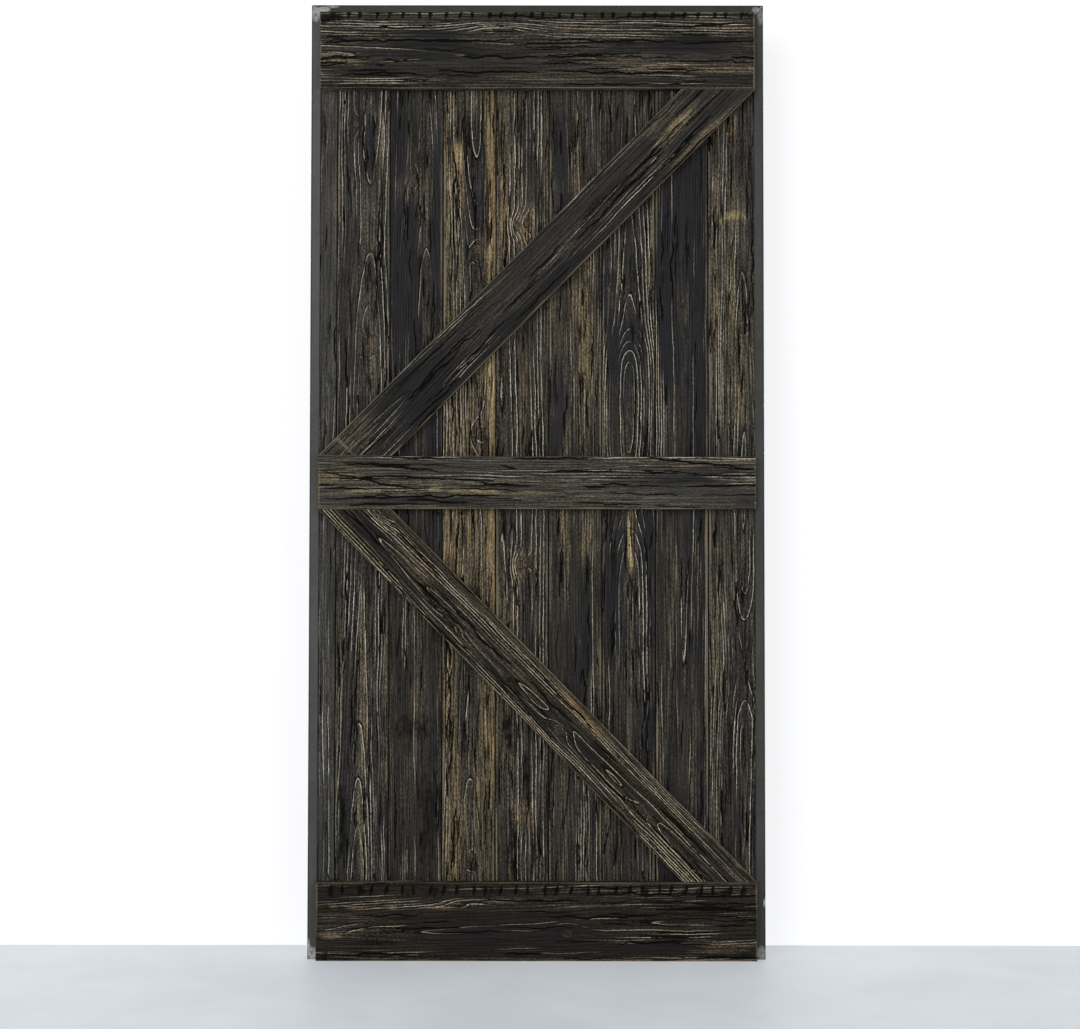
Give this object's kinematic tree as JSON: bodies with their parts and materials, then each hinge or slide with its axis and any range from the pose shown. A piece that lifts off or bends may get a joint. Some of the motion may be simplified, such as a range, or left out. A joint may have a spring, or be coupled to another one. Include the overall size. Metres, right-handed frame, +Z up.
{
  "type": "barn door leaf",
  "caption": "Plank barn door leaf in a welded steel channel frame, with rails and corner-to-corner braces that form a K, in brushed, dark stained wood.",
  "frame": {"origin": "middle of the leaf's bottom edge, on the centre plane of the steel channel", "axes": "+Z up the leaf, -Y out of its braced face, +X to the right seen from that face"},
  "size_m": [1, 0.0473, 2.1],
  "materials": {
    "plank_wood": "brushed softwood, worn black-brown stain, matt",
    "rail_wood": "brushed, checked softwood, worn charcoal stain, matt",
    "frame_steel": "satin dark grey paint, rubbed along the edges",
    "bare_weld": "bare weld ground flush",
    "zinc_screw": "dull zinc plate"
  },
  "bodies": {
    "root": {"plank_1": "plank_wood", "plank_2": "plank_wood", "plank_3": "plank_wood", "plank_4": "plank_wood", "plank_5": "plank_wood", "plank_6": "plank_wood", "plank_7": "plank_wood", "plank_8": "plank_wood", "plank_9": "plank_wood", "top_rail": "rail_wood", "middle_rail": "rail_wood", "bottom_rail": "rail_wood", "upper_brace": "rail_wood", "lower_brace": "rail_wood", "frame_head": "frame_steel", "frame_sill": "frame_steel", "frame_stile_left": "frame_steel", "frame_stile_right": "frame_steel", "corner_welds": "bare_weld", "top_rail_screws": "zinc_screw", "middle_rail_screws": "zinc_screw", "bottom_rail_screws": "zinc_screw", "upper_brace_screws": "zinc_screw", "lower_brace_screws": "zinc_screw"}
  },
  "joints": []
}
